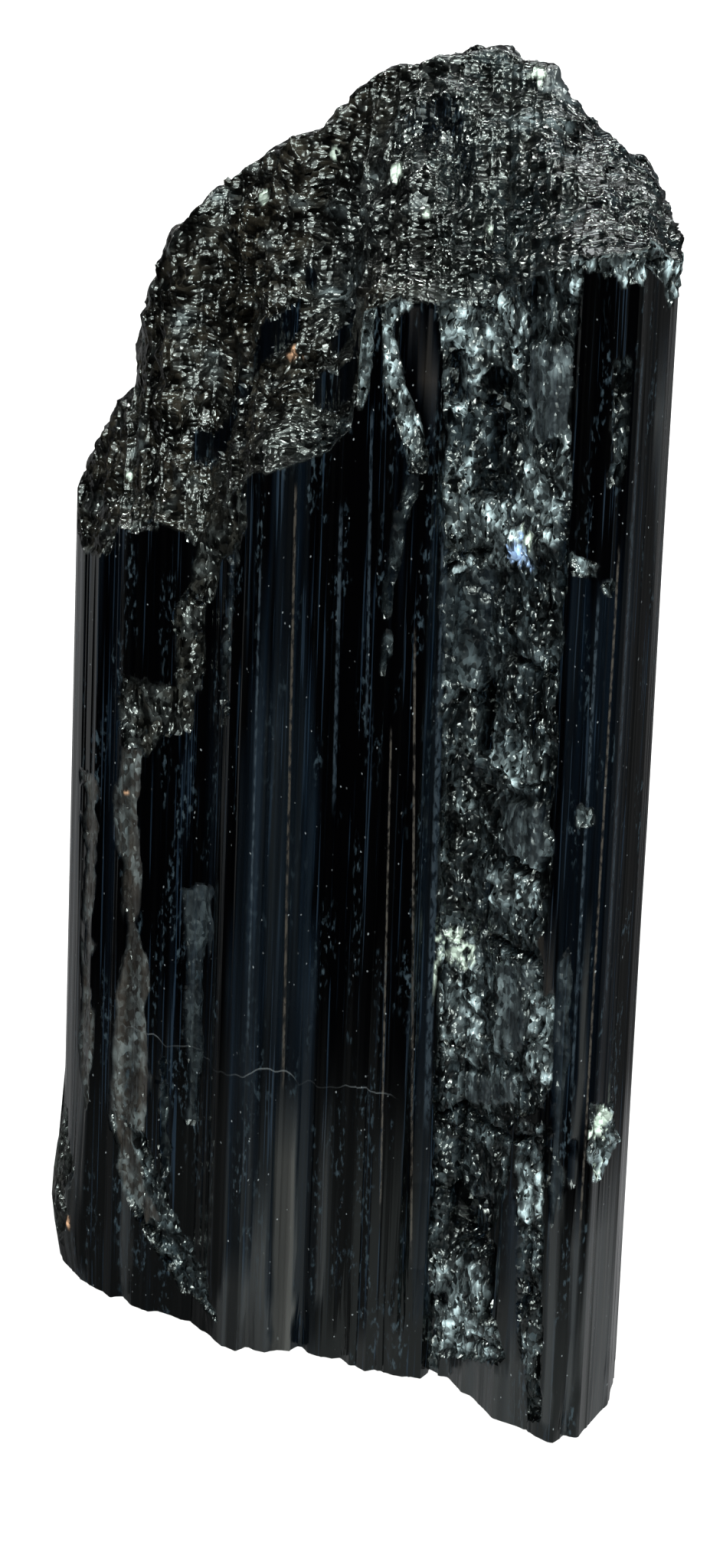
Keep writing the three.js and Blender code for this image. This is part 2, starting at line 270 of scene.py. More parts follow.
# Outlines of the patches of the front wall; later ones lie over earlier ones.
FRONT_PATCHES = (
    # satin faces: rougher, with a painted blue sheen
    ("satin", [(-7.4, 66), (-5.6, 66), (-2.6, 57), (-2.2, 27), (-9.0, 24), (-9.4, 33), (-8.6, 57)]),
    ("soft", [(-2.2, 28), (-0.8, -1), (-8.3, -1), (-9.2, 25)]),
    ("soft", [(-6.6, 82), (-4.0, 83), (-3.8, 62), (-6.6, 62)]),
    # Pale strips at the foot and up the left edge: painted reflections of the pale floor.
    ("dust_and_reflection", [(-9.3, 4), (-8.9, 7), (-7.0, 9), (-5.2, 12), (-4.6, -1), (-9.8, -1)]),
    ("floor_reflection", [(-5.1, 25.5), (-3.2, 25), (-2.7, -1), (-4.6, -1)]),
    ("dust_and_reflection", [(-18.1, 15), (-16.8, 16), (-16.5, -1), (-17.8, -1)]),
    ("dust_and_reflection", [(-22.4, 25), (-21.0, 25), (-21.2, -1), (-22.2, -1)]),
    ("dust_and_reflection", [(-1.6, 22), (-0.6, 24), (-0.2, 8), (-1.2, 4)]),
    ("soft", [(5.2, 80), (6.2, 80), (7.1, 40), (8.2, 6), (6.9, 6), (6.0, 40)]),
    ("soft", [(-22.9, 64), (-22.0, 64), (-21.9, 12), (-22.9, 12)]),
    # Pale strips at the right foot and up the right edge: painted reflections of the pale floor and
    # surroundings.
    ("dust_and_reflection", [(20.2, 22), (22.7, 21), (23.3, -1), (20.7, -1)]),
    ("dust_and_reflection", [(17.4, 38), (18.3, 38), (18.6, 1), (17.6, 1)]),
    ("dust_and_reflection", [(19.3, 23), (19.9, 23), (20.2, 0), (19.5, 0)]),
    ("dust_and_reflection", [(22.3, 97), (24.5, 97), (24.5, 62), (23.6, 62), (22.8, 80)]),
    ("tan", [(3.2, 96), (5.1, 96), (5.8, 88.6), (4.1, 88.6)]),
    # the band down the middle of the right half
    ("fine", [(6.0, 112), (15.4, 112), (16.0, 89), (16.1, 78.5), (15.9, 62), (15.7, 46), (17.0, 41),
              (17.2, 33), (15.9, 29.5), (14.1, 28.5), (14.0, 24), (13.6, 20.5), (12.9, 16), (13.2, 9.5),
              (14.3, 6.5), (14.2, 5.3), (10.9, 2.6), (9.2, -1), (8.4, -1), (8.0, 10), (7.9, 36),
              (7.5, 45), (6.9, 63), (6.6, 73), (6.2, 86)]),
    ("fine", [(14.3, 28.5), (16.6, 29.5), (17.2, 12), (17.5, 1.7), (16.3, 1.0), (15.2, 11)]),
    # A pale strip at the foot of the band: a painted reflection of the pale floor.
    ("dust_and_reflection", [(10.2, 2.2), (14.2, 5.3), (15.8, 7), (16.3, -1), (9.3, -1)]),
    ("satin", [(13.8, 21), (14.7, 21), (15.4, 6.5), (14.4, 6.5)]),
    ("beads", [(5.0, 97), (11.6, 97), (11.6, 91.9), (9.0, 90.0), (8.2, 86.6), (6.6, 86.6), (5.8, 89.7)]),
    ("slab", [(12.4, 94.7), (15.5, 96.7), (15.7, 88.9), (12.6, 86.8)]),
    ("beads", [(14.5, 89.1), (16.0, 89.9), (16.0, 85.4), (14.7, 84.7)]),
    ("beads", [(6.6, 83.1), (8.6, 83.0), (8.7, 79.1), (11.4, 80.7), (11.6, 84.7), (15.2, 87.2),
               (15.5, 80.5), (13.2, 77.5), (10.9, 74.0), (7.0, 73.0)]),
    ("dark", [(8.5, 82.6), (11.3, 84.0), (11.4, 80.7), (8.7, 79.1)]),
    ("blue", [(6.6, 73.0), (10.9, 73.9), (9.9, 63.2), (6.9, 63.1)]),
    ("beads", [(8.1, 58.5), (9.7, 58.5), (9.8, 57.0), (8.2, 56.9)]),
    ("beads", [(10.8, 58.6), (15.1, 62.0), (15.2, 58.6), (11.0, 55.3)]),
    ("slab", [(12.4, 55.0), (15.5, 57.6), (15.5, 52.4), (12.4, 50.0)]),
    ("beads", [(8.0, 52.6), (10.8, 52.9), (10.9, 51.6), (8.0, 51.4)]),
    ("beads", [(10.9, 48.0), (15.3, 51.3), (15.4, 48.4), (11.0, 45.0)]),
    # A cluster of glints painted as pale colour.
    ("bright", [(7.8, 40.6), (10.7, 41.2), (10.8, 38.2), (7.9, 37.3)]),
    ("slab", [(12.0, 40.5), (15.0, 43.0), (15.1, 35.3), (12.3, 33.0)]),
    ("tan", [(15.3, 45.8), (16.8, 46.6), (17.1, 39.8), (15.6, 39.2)]),
    ("beads", [(7.9, 36.3), (10.9, 37.3), (11.0, 29.9), (8.0, 28.7)]),
    ("beads", [(14.4, 40.0), (16.9, 41.3), (17.3, 33.2), (14.7, 32.0)]),
    ("beads", [(16.3, 39.9), (19.6, 40.4), (19.5, 37.7), (16.4, 37.3)]),
    # A cluster of glints painted as pale colour.
    ("bright", [(18.3, 42.3), (19.6, 42.1), (19.7, 40.5), (18.4, 40.7)]),
    ("slab", [(9.8, 28.2), (13.9, 31.9), (14.0, 29.5), (9.9, 25.6)]),
    ("dark", [(9.2, 17.0), (12.8, 19.4), (12.8, 15.3), (9.4, 12.4)]),
    ("beads", [(8.1, 10.3), (12.0, 12.5), (14.2, 5.6), (10.9, 3.1), (8.5, 0.8)]),
    ("beads", [(14.5, 24.5), (16.8, 25.3), (16.9, 20.0), (14.8, 19.0)]),
    # the collar below the break
    ("beads", [(-0.4, 95), (0.7, 95), (0.3, 88.3), (-0.1, 86.4), (-0.9, 86.8)]),
    ("beads", [(0.4, 97), (3.6, 97), (2.1, 93.6), (3.3, 89.3), (4.2, 86.7), (5.2, 82.6), (4.0, 81.4),
               (3.4, 83.0), (2.5, 86.5), (1.3, 89.0)]),
    ("beads", [(14.6, 108), (23.9, 108), (23.7, 98.5), (22.9, 98.5), (22.4, 101.3), (21.3, 103.0),
               (19.5, 102.2), (18.5, 103.6), (16.5, 103.3), (15.6, 100.5), (14.8, 100.5)]),
    ("brown", [(-23.9, 73), (-16.5, 74.5), (-16.2, 71.8), (-19.3, 70.6), (-19.8, 68.3), (-21.5, 68.0),
               (-22.9, 67.3), (-23.9, 67.8)]),
    # the right faces
    ("soft", [(16.3, 78), (21.5, 78), (22.3, 30), (16.9, 30)]),
    # A pale strip on the right faces: a painted reflection of the pale surroundings.
    ("dust_and_reflection", [(18.7, 52), (19.3, 52), (19.6, 24), (18.9, 24)]),
    ("slate", [(16.9, 44), (17.9, 46), (18.3, 24), (17.7, 20), (17.2, 22)]),
    ("blue", [(3.6, 81.6), (4.9, 81.2), (4.2, 79.0), (3.3, 76), (2.8, 71), (2.6, 64), (2.1, 64),
              (2.2, 72), (2.8, 78)]),
    ("fine", [(18.9, 96.4), (19.9, 96.2), (20.1, 85.9), (19.0, 86.0)]),
    ("beads", [(16.4, 79.5), (18.7, 79.5), (18.6, 78.2), (16.4, 77.7)]),
    ("beads", [(18.6, 77.9), (20.0, 77.7), (20.0, 76.5), (18.8, 76.6)]),
    ("beads", [(17.9, 58.1), (19.2, 58.2), (19.3, 56.9), (17.9, 56.6)]),
    # A cluster of glints painted as pale colour.
    ("bright", [(20.2, 31.3), (22.1, 29.9), (22.5, 26.6), (21.5, 22.6), (20.6, 23.5), (20.3, 27.0)]),
    # the left faces
    ("brown", [(-12.2, 80), (-9.0, 80), (-9.5, 73.2), (-10.9, 70.2), (-12.1, 65.8), (-11.9, 58.5),
               (-14.3, 58.5), (-14.5, 65.6), (-13.4, 68), (-13.3, 71.4), (-14.2, 73.2)]),
    ("brown", [(-18.6, 58), (-16.3, 58.5), (-12.3, 59.2), (-13.0, 54.9), (-14.9, 54.3), (-16.2, 52.4),
               (-17, 51.2), (-18.2, 51.8), (-18.9, 54)]),
    ("mud", [(-18.5, 51.5), (-17, 51.8), (-17.2, 45), (-16.5, 41), (-16.7, 35.6), (-15.9, 32), (-15.6, 20),
               (-16, 16.0), (-18.8, 16.0), (-18.9, 18.5), (-18.6, 25), (-18.1, 31), (-17.8, 35),
               (-18.3, 40.5), (-19, 44.5), (-19.3, 46.6)]),
    ("fine", [(-18.8, 17.5), (-15.6, 16.5), (-13.8, 11.5), (-12.4, 8.4), (-10.3, 5.2), (-9.6, 2.2),
              (-12.0, 2.6), (-15.4, 7.0), (-17.9, 10.8)]),
    ("mud", [(-21.8, 47), (-20.6, 47.8), (-20.5, 40.7), (-20.8, 33.5), (-20.4, 22.5), (-21, 17),
               (-21.6, 21.5), (-21.6, 33), (-21.6, 40)]),
    ("brown", [(-24.8, 13), (-22.6, 14), (-21.8, 10), (-22.2, 2), (-24.8, 1)]),
    ("mud", [(-18.8, 17.5), (-17.0, 16.8), (-16.0, 12.5), (-14.6, 9.2), (-15.6, 8.0), (-17.9, 10.8)]),
    ("slate", [(-13.6, 40.6), (-10.9, 41.5), (-10.8, 37.7), (-11.4, 34.2), (-11.6, 19), (-12.3, 19),
              (-12.7, 33.5)]),
    ("blue", [(-14.8, 24.4), (-14.2, 24.4), (-13.6, 13.5), (-14.4, 13.5)]),
    ("blue", [(-10.5, 72.5), (-9.6, 72.5), (-10.2, 58.5), (-10.7, 58.5)]),
)

# Narrow deep slots: x, top, bottom, half width, depth.
FRONT_SLOTS = (
    (10.4, 64.5, 56.8, 0.55, 1.5), (11.2, 74.5, 66.5, 0.20, 0.9), (13.9, 67.5, 61.5, 0.20, 0.9),
    (11.2, 53.5, 51.0, 0.18, 0.8), (15.0, 61.5, 55.0, 0.20, 0.9), (11.0, 47.0, 42.0, 0.22, 1.0),
    (15.3, 52.5, 49.6, 0.24, 1.0), (7.3, 92.2, 87.4, 0.75, 1.4), (10.0, 90.8, 87.2, 0.60, 1.3),
    (10.3, 87.4, 83.4, 0.34, 1.1),
    (11.0, 17.8, 13.2, 1.50, 1.3), (12.9, 15.6, 7.5, 0.50, 1.2), (17.0, 29.0, 23.5, 0.30, 0.8),
    (18.9, 28.5, 24.0, 0.28, 0.8),
)

# Cracks across the rough band: height at its left end, left x, right x, half height, depth.
FRONT_CRACKS = (
    (73.4, 6.4, 10.3, 0.30, 0.8), (67.0, 11.3, 15.4, 0.34, 0.9), (56.8, 10.8, 15.0, 0.30, 0.8),
    (49.6, 12.2, 15.3, 0.75, 1.1), (42.0, 10.8, 15.2, 0.36, 1.0), (24.2, 8.2, 15.6, 0.30, 1.0),
)


def inside(outline, x, z):
    """Distance in mm from an outline, above 0 inside it."""
    nearest = np.full(len(x), np.inf)
    within = np.zeros(len(x), bool)
    for (x0, z0), (x1, z1) in zip(outline, outline[1:] + outline[:1]):
        run, rise = x1 - x0, z1 - z0
        share = np.clip(((x - x0) * run + (z - z0) * rise) / (run ** 2 + rise ** 2), 0, 1)
        nearest = np.minimum(nearest, np.hypot(x - x0 - share * run, z - z0 - share * rise))
        if rise:
            crossing = (z0 > z) != (z1 > z)
            within ^= crossing & (x < x0 + (z - z0) * run / rise)
    return np.where(within, nearest, -nearest)


def ragged(x, z, size, seed):
    """Noise that frays the sides of the patches."""
    flat = np.stack([x, z], 1)
    return noise(flat, (size, 2 * size), seed) + 0.5 * noise(flat, (size / 2, size), seed + 9)


def front_looks(x, z):
    """What the front wall is like at each place, as rows like those of KINDS."""
    splinters = noise(np.stack([x, z], 1), (0.35, 4.5), 13)
    fray = 0.24 * ragged(x, z, 0.9, 11) + 0.26 * splinters
    looks = np.tile(np.array(KINDS["smooth"]), (len(x), 1))
    for kind, outline in FRONT_PATCHES:
        lefts, heights = np.array(outline).T
        near = (x > lefts.min() - 1) & (x < lefts.max() + 1)
        near &= (z > heights.min() - 1) & (z < heights.max() + 1)
        distance = inside(outline, x[near], z[near]) + fray[near]
        share = ramp(distance, -0.06, 0.2)[:, None]
        looks[near] = looks[near] * (1 - share) + np.array(KINDS[kind]) * share
    return looks


def back_looks(x, z):
    """Loose rough patches and satin streaks on the back wall."""
    flat = np.stack([x, z], 1)
    field = noise(flat, (5.5, 26), 31) + 0.6 * noise(flat, (1.4, 6), 32)
    field += 0.25 * noise(flat, (0.5, 1.2), 33)
    rough = ramp(field, 0.72, 0.84)[:, None]
    satin = ramp(noise(flat, (4.5, 70), 35), 0.15, 0.45)[:, None]
    looks = np.array(KINDS["smooth"]) * (1 - satin) + np.array(KINDS["satin"]) * satin
    return looks * (1 - rough) + np.array(KINDS["fine"]) * rough


def slot_depth(x, z):
    """Depth in mm of the narrow slots at each place of the front wall."""
    depth = np.zeros(len(x))
    for centre, top, bottom, half_width, deep in FRONT_SLOTS:
        across = 1 - ramp(np.abs(x - centre), half_width * 0.75, half_width)
        depth = np.maximum(depth, deep * across * between(z, bottom, top, 0.4))
    return depth


def crack_depth(x, z):
    """Depth in mm of the cracks across the rough band."""
    depth = np.zeros(len(x))
    for height, left, right, half_height, deep in FRONT_CRACKS:
        wander = 0.5 * noise(np.stack([x, z * 0], 1), (1.1, 1), int(height))
        middle = height + (x - left) * 0.35 + wander
        upright = 1 - ramp(np.abs(z - middle), half_height * 0.6, half_height)
        depth = np.maximum(depth, deep * upright * between(x, left, right, 0.4))
    return depth


def nearest_line(place, seed, *cells):
    """Index of the nearest of many uneven lines about 1 apart, how far off it is, and its lead."""
    base = np.floor(place).astype(np.int64)
    lines = np.stack([base + step for step in (-1, 0, 1)])
    away = np.stack([place - (line + 0.1 + 0.8 * hashed(SEED + seed, line, *cells)) for line in lines])
    order = np.abs(away).argsort(0)
    best, second = order[0], order[1]
    pick = np.arange(len(place))
    lead = np.abs(away[second, pick]) - np.abs(away[best, pick])
    return lines[best, pick], away[best, pick], lead


def slivers(s, z, width, height, seed):
    """Broken slivers side by side: how far each stands out, -1 to 1, and 1 in the gaps between them."""
    column, _, lead = nearest_line(s / width, seed)
    shifted = z / height + 5 * hashed(seed + 1, column)
    row, offset, row_lead = nearest_line(shifted, seed + 2, column)
    level = hashed(SEED + seed + 3, column, row) * 2 - 1
    lean = hashed(SEED + seed + 4, column, row) * 2 - 1
    upright_gap = (lead * width < 0.24) & (hashed(SEED + seed + 5, column, row) < 0.5)
    level_gap = (row_lead * height < 0.5) & (hashed(SEED + seed + 6, column, row) < 0.4)
    return level + lean * offset, (upright_gap | level_gap).astype(float)


class Ribs:
    """Flat-sided ribs that run up a wall, with widths and heights drawn once."""

    def __init__(self, length, seed, widths, height):
        draw = np.random.default_rng(SEED + seed)
        self.knots = np.cumsum(draw.uniform(*widths, int(length / widths[0]) + 4)) - 2 * widths[1]
        self.heights = draw.uniform(-height, height, len(self.knots))

    def at(self, s):
        return np.interp(s, self.knots, self.heights)


def ridges(s, z, length, seed):
    """Sharp thin ridges that stand out here and there along a wall."""
    draw = np.random.default_rng(SEED + seed)
    middles = np.cumsum(draw.uniform(0.5, 2.2, int(length)))
    heights = draw.uniform(0.03, 0.15, len(middles))
    nearest = np.abs(s[:, None] - middles[None, :]).argmin(1)
    tent = np.clip(1 - np.abs(s - middles[nearest]) / 0.2, 0, 1)
    alive = ramp(noise(np.stack([middles[nearest] * 3, z], 1), (1, 26), seed + 1), -0.5, 0.1)
    return heights[nearest] * tent * alive


def rib_relief(s, z, length, seed):
    """Relief in mm of the ribs: broad, middling and fine ones, some that come and go, and ridges."""
    flat = np.stack([s, z], 1)
    broad = Ribs(length, seed, (1.2, 3.0), 0.10).at(s)
    middling = Ribs(length, seed + 1, (0.4, 1.4), 0.05).at(s)
    fine = Ribs(length, seed + 2, (0.15, 0.4), 0.018).at(s)
    other = Ribs(length, seed + 3, (0.3, 1.2), 0.05).at(s)
    come_and_go = ramp(noise(flat, (2.5, 34), seed + 4), -0.25, 0.25)
    return broad + middling + fine + other * come_and_go + ridges(s, z, length, seed + 5)


def rough_relief(s, z, shift, glitter):
    """Relief of a rough patch, 1 in its gaps, and 1 on the tops of its bumps, where a painted highlight
    goes.
    """
    flat = np.stack([s, z], 1)
    bent_s = s + 0.30 * noise(flat, (1.3, 2.4), 55) + 0.12 * noise(flat, (0.4, 0.8), 56)
    bent_z = z + 0.55 * noise(flat, (1.1, 2.0), 57) + 0.20 * noise(flat, (0.4, 0.8), 58)
    large, large_gap = slivers(bent_s, bent_z, 2.1, 8.0, 41)
    small, small_gap = slivers(bent_s, bent_z, 0.9, 2.8, 47)
    slanted = np.stack([bent_s + 0.5 * bent_z, np.full(len(s), shift), bent_z - 0.5 * bent_s], 1)
    bumps = noise(slanted, (1.0, 1, 1.1), 53)
    grain = 0.26 * bumps + 0.16 * facets(slanted, 0.8, 61)
    gap = np.maximum(large_gap, small_gap * 0.5)
    relief = 0.30 * large + 0.16 * small + (0.3 + 0.9 * glitter) * grain - 0.5 * gap
    return relief, gap, ramp(bumps, -0.35, 0.35)


# ---- the break ----

# Polished steps in the break: left x, right x, y at the left end, y at the right end, height.
BREAK_STEPS = (
    (-9.2, -5.3, 1.0, 0.4, 3.2), (-2.8, -0.9, -0.9, -1.4, 2.2), (-4.0, -0.5, -2.6, -4.6, 3.4),
    (-10.6, -9.0, 0.9, 0.2, 1.4), (-13.6, -10.2, 2.2, 0.6, 2.8), (-5.0, -4.1, 2.0, 1.6, 2.2),
)
STEP_REACH = 1.9          # mm in front of and behind a step over which its height dies away
SCOOP_CENTRE = (3.3, -2.0)
SCOOP_RADIUS = 4.0
SCOOP_HEIGHT = 2.2
SCOOP_REACH = 2.8
CHIP = (14.3, 3.0, 109.7)  # middle of a small flat facet at the top
CHIP_SIZE = 1.7


def break_steps(x, y):
    """Lift in mm of the polished steps, and 1 where the step itself stands."""
    lift = np.zeros(len(x))
    polish = np.zeros(len(x))
    for left, right, y_left, y_right, height in BREAK_STEPS:
        line = y_left + (y_right - y_left) * (x - left) / (right - left)
        away = (y - line) / STEP_REACH
        ends = ramp(x - left, -1.2, 0.7) * ramp(right - x, -1.2, 0.7)
        across = ramp(x - left, -0.1, 0.1) * ramp(right - x, -0.1, 0.1)
        lift += ends * height / 2 * np.sign(away) * np.clip(1 - np.abs(away), 0, 1) ** 1.5
        polish = np.maximum(polish, across * (np.abs(y - line) < 0.16))
    return lift, polish


def break_scoop(x, y):
    """Lift in mm of the curved step of a shell-shaped chip, and how polished it is."""
    across, back = x - SCOOP_CENTRE[0], y - SCOOP_CENTRE[1]
    away = np.hypot(across, back) + 0.25 * noise(np.stack([x, y], 1), 1.6, 101) - SCOOP_RADIUS
    turn = np.degrees(np.arctan2(back, across))
    here = ramp(turn, -45, -10) * ramp(-turn, -140, -110)
    step = np.clip(away / 0.28, -1, 1)
    lift = here * SCOOP_HEIGHT / 2 * step * np.clip(1 - np.abs(away) / SCOOP_REACH, 0, 1) ** 1.5
    reach = 0.6 + 1.0 * ramp(turn, -25, 20) * ramp(-turn, -125, -80)
    return lift, 0.8 * here * ((away < 0.45) & (away > -reach))


def break_relief(points):
    """Relief of the break over a few mm, the lift of its steps, and how polished it is."""
    slanted = points @ SLANT
    waves = 0.30 * noise(slanted, (6.0, 1.7, 1.4), 71) + 0.15 * noise(slanted, (2.6, 0.9, 0.8), 72)
    lumps = waves + 0.08 * facets(slanted, 3.4, 73) + 0.05 * facets(slanted, 1.6, 79)
    lift, polish = break_steps(points[:, 0], points[:, 1])
    scoop, scar = break_scoop(points[:, 0], points[:, 1])
    return lumps, lift + scoop, np.maximum(polish, scar)


def break_grain(points):
    """Relief in mm of the break's grains, about a millimetre wide."""
    slanted = points @ SLANT
    return 0.17 * noise(slanted, (1.6, 0.9, 0.8), 83) + 0.07 * noise(slanted[:, ::-1], (0.6, 0.7, 0.9), 89)


def break_looks(points, polish):
    """What the break is like, as rows like those of KINDS; the last column marks the break."""
    warm = ramp(noise(points, 7.0, 91) - points[:, 0] / 16, -0.9, 0.7)
    glitter = ramp(noise(points, 3.2, 93) + 0.5 * noise(points, 1.2, 94), -0.4, 0.9)
    glitter *= ramp(points[:, 0], -22, -2)
    pale = 0.16 * ramp(noise(points, (3.0, 1.2, 1.2), 95), 0.3, 0.9)
    flat = ramp(CHIP_SIZE - np.linalg.norm(points - CHIP, axis=1), 0, 0.3)
    rough = (1 - polish) * (1 - 0.7 * flat)
    satin = np.maximum(0.12 * polish, flat)
    return np.column_stack([rough, satin, 0.25 + 0.75 * warm, glitter * (1 - flat), pale + 0.4 * flat,
                            np.ones(len(points))])


# ---- the skin ----

def look_over_break(inset, rims):
    """Points across the break at every station, with their outward direction and polish.

    The solid is read from one inset line to the other, and the skin runs from rim to rim.
    """
    reads = []
    plans = []
    for read_start, read_end, start, end in zip(*inset, *rims):
        count = max(3, int(np.linalg.norm(end - start) / BREAK_LOOK))
        share = np.linspace(0, 1, count)[:, None]
        reads.append(read_start + (read_end - read_start) * share)
        plans.append(start + (end - start) * share)
    sizes = [len(row) for row in reads]
    looks = np.array([break_look(x, y) for x, y in np.vstack(reads)])
    looks[:, 0] = fill(looks[:, 0])
    base = np.column_stack([np.vstack(plans), looks[:, 0]])
    relief, lift, polish = break_relief(base)
    rows = np.split(np.column_stack([base, looks[:, 1:], relief, lift, polish]), np.cumsum(sizes)[:-1])
    return [lay_relief(row) for row in rows]


def lay_relief(row):
    """One station's points moved out by their relief, straight up where they meet a wall."""
    base, normal, relief, lift, polish = np.split(row, (3, 6, 7, 8), axis=1)
    padded = np.pad(normal, ((AVERAGED, AVERAGED), (0, 0)), mode="edge")
    window = np.ones(2 * AVERAGED + 1) / (2 * AVERAGED + 1)
    smooth = np.stack([np.convolve(padded[:, i], window, "valid") for i in range(3)], 1)
    distance = np.arange(len(row)) * BREAK_LOOK
    from_rim = np.minimum(distance, distance[::-1])
    inner = ramp(from_rim, 0.0, RIM_BLEND)[:, None]
    direction = smooth * inner + np.array([0, 0, 1.0]) * (1 - inner)
    direction /= np.linalg.norm(direction, axis=1, keepdims=True)
    moved = base + direction * relief * (0.25 + 0.75 * inner)
    moved[:, 2:] += lift * inner
    return np.column_stack([moved, direction, polish])


def resample(row, step):
    """The same row of points about step mm apart in space."""
    travelled = np.concatenate([[0], np.cumsum(np.linalg.norm(np.diff(row[:, :3], axis=0), axis=1))])
    count = max(2, int(round(travelled[-1] / step)) + 1)
    wanted = np.linspace(0, travelled[-1], count)
    return np.stack([np.interp(wanted, travelled, row[:, i]) for i in range(row.shape[1])], 1)


class Side:
    """What a wall looks like close up: its relief, and its looks as rows like those of KINDS."""

    def __init__(self, wall, is_front):
        self.wall = wall
        self.is_front = is_front
        self.rib_seed = 300 if is_front else 400
        self.shift = 100.0 if is_front else 200.0
        self.length = wall.distances[-1]

    def looks(self, x, z):
        return front_looks(x, z) if self.is_front else back_looks(x, z)

    def satin(self, s, z, looks):
        """How satin each place is: streaky, and fading out at the ends of the wall."""
        flat = np.stack([s, z], 1)
        streak = ramp(noise(flat, (0.45, 26), 36), 0.1, 0.8) * ramp(noise(flat, (4, 40), 37), -0.2, 0.5)
        faint = noise(flat, (0.8, 24), 38) + 0.5 * noise(flat, (0.3, 14), 39)
        ends = ramp(s, 0, 3) * ramp(self.length - s, 0, 4)
        least = 0.75 - 0.4 * ramp(looks[:, 4], 0, 0.3)
        share = (least + (1 - least) * ramp(faint, -0.6, 0.3)) * ends
        return np.maximum(looks[:, 1] * share, 0.30 * streak * (1 - looks[:, 0]))

    def relief(self, station, z):
        """Relief in mm and the looks of points given by station number and height."""
        s = self.wall.distances[station]
        x = self.wall.plan[station, 0]
        looks = self.looks(x, z)
        looks[:, 1] = self.satin(s, z, looks)
        rough, satin, _, glitter, _, sink = looks.T.copy()
        ribs = rib_relief(s, z, self.length, self.rib_seed)
        broken, gap, tops = rough_relief(s, z, self.shift, glitter)
        out = ribs * (1 - 0.75 * satin) * (1 - 0.6 * rough) + rough * broken - sink
        polish = gap * rough
        if self.is_front:
            slots = slot_depth(x, z)
            cracks = crack_depth(x, z)
            polish = np.maximum.reduce([polish, ramp(slots, 0.15, 0.5), ramp(cracks, 0.3, 0.7)])
            out -= np.maximum(slots, cracks)
        looks[:, 0] *= 1 - 0.9 * polish
        # Painted shade and painted highlight: the pale of the grains is taken out of the gaps, slots and
        # cracks and raised on the tops of the bumps.
        lively = (1 - polish) * (1 - looks[:, 0] * (0.75 - 1.1 * tops))
        looks[:, 3:5] *= lively[:, None]
        looks[:, 5] = 0
        return out * between(s, 0, self.length, 1.2), looks

    def solid_relief(self, station, z):
        """Relief of the CAD solid itself at a station and a height."""
        levels = self.wall.LEVELS
        place = np.interp(z, levels, np.arange(len(levels)))
        below = np.minimum(place.astype(int), len(levels) - 2)
        share = place - below
        lower = self.wall.relief[station, below]
        upper = self.wall.relief[station, below + 1]
        return lower + (upper - lower) * share

    def points(self, station, z):
        """Points of the skin in mm, with their looks."""
        relief, looks = self.relief(station, z)
        out = relief + self.solid_relief(station, z)
        plan = self.wall.plan[station] + self.wall.normal[station] * out[:, None]
        return np.column_stack([plan, z]), looks


FOOT_ROWS = (0.0, 0.5, 1.1, 1.8, 2.6, 4.0, 6.0)


def row_heights(side, rims):
    """Heights of the wall's rows at each station: close together only where it is rough."""
    coarse = np.concatenate([FOOT_ROWS, np.arange(FOOT_ROWS[-1] + 4, ABOVE_ALL, SMOOTH_ROW)])
    fine = np.arange(2, ABOVE_ALL / ROUGH_ROW) * ROUGH_ROW
    station = np.repeat(np.arange(len(rims)), len(fine))
    x = side.wall.plan[station, 0]
    rough = side.looks(x, np.tile(fine, len(rims)))[:, 0].reshape(len(rims), len(fine))
    if side.is_front:
        cut = slot_depth(x, np.tile(fine, len(rims))).reshape(rough.shape)
        rough = np.maximum(rough, cut)
    rough[1:-1] = np.maximum.reduce([rough[:-2], rough[1:-1], rough[2:]])
    near = np.maximum.reduce([rough, np.roll(rough, 1, axis=1), np.roll(rough, -1, axis=1)])
    rows = []
    for i, rim in enumerate(rims):
        heights = np.union1d(coarse, fine[near[i] > 0.02])
        heights = np.union1d(heights, [rim - below for below in RIM_ROWS])
        rows.append(heights[heights < rim - RIM_GAP])
    return rows


class Skin:
    """The skin's points, what each is like, and its triangles."""

    def __init__(self):
        self.points = []
        self.looks = []
        self.triangles = []
        self.count = 0

    def add(self, points, looks):
        self.points.append(points)
        self.looks.append(looks)
        first = self.count
        self.count += len(points)
        return list(range(first, self.count))

    def finish(self):
        """Call once every point is in and before any triangle is made."""
        self.points = np.vstack(self.points)
        self.looks = np.vstack(self.looks)
        self.coordinates = self.points.tolist()

    def apart(self, one, other):
        """Distance between two points, squared."""
        a = self.coordinates[one]
        b = self.coordinates[other]
        return (a[0] - b[0]) ** 2 + (a[1] - b[1]) ** 2 + (a[2] - b[2]) ** 2

    def zip(self, left, right):
        """Triangles between two lines of points, always across the shorter diagonal."""
        i = j = 0
        while i < len(left) - 1 or j < len(right) - 1:
            if j == len(right) - 1:
                up_left = True
            elif i == len(left) - 1:
                up_left = False
            else:
                up_left = self.apart(left[i + 1], right[j]) <= self.apart(left[i], right[j + 1])
            if up_left:
                self.triangle(left[i], right[j], left[i + 1])
                i += 1
            else:
                self.triangle(left[i], right[j], right[j + 1])
                j += 1

    def triangle(self, a, b, c):
        if a != b and b != c and c != a:
            self.triangles.append((a, b, c))


def skin_walls(side, skin, rims):
    """Adds a wall's points; gives each station's line of points from the foot to just below its rim."""
    rows = row_heights(side, rims)
    station = np.concatenate([np.full(len(row), i) for i, row in enumerate(rows)])
    numbers = skin.add(*side.points(station, np.concatenate(rows)))
    lines = []
    first = 0
    for row in rows:
        lines.append(numbers[first:first + len(row)])
        first += len(row)
    return lines


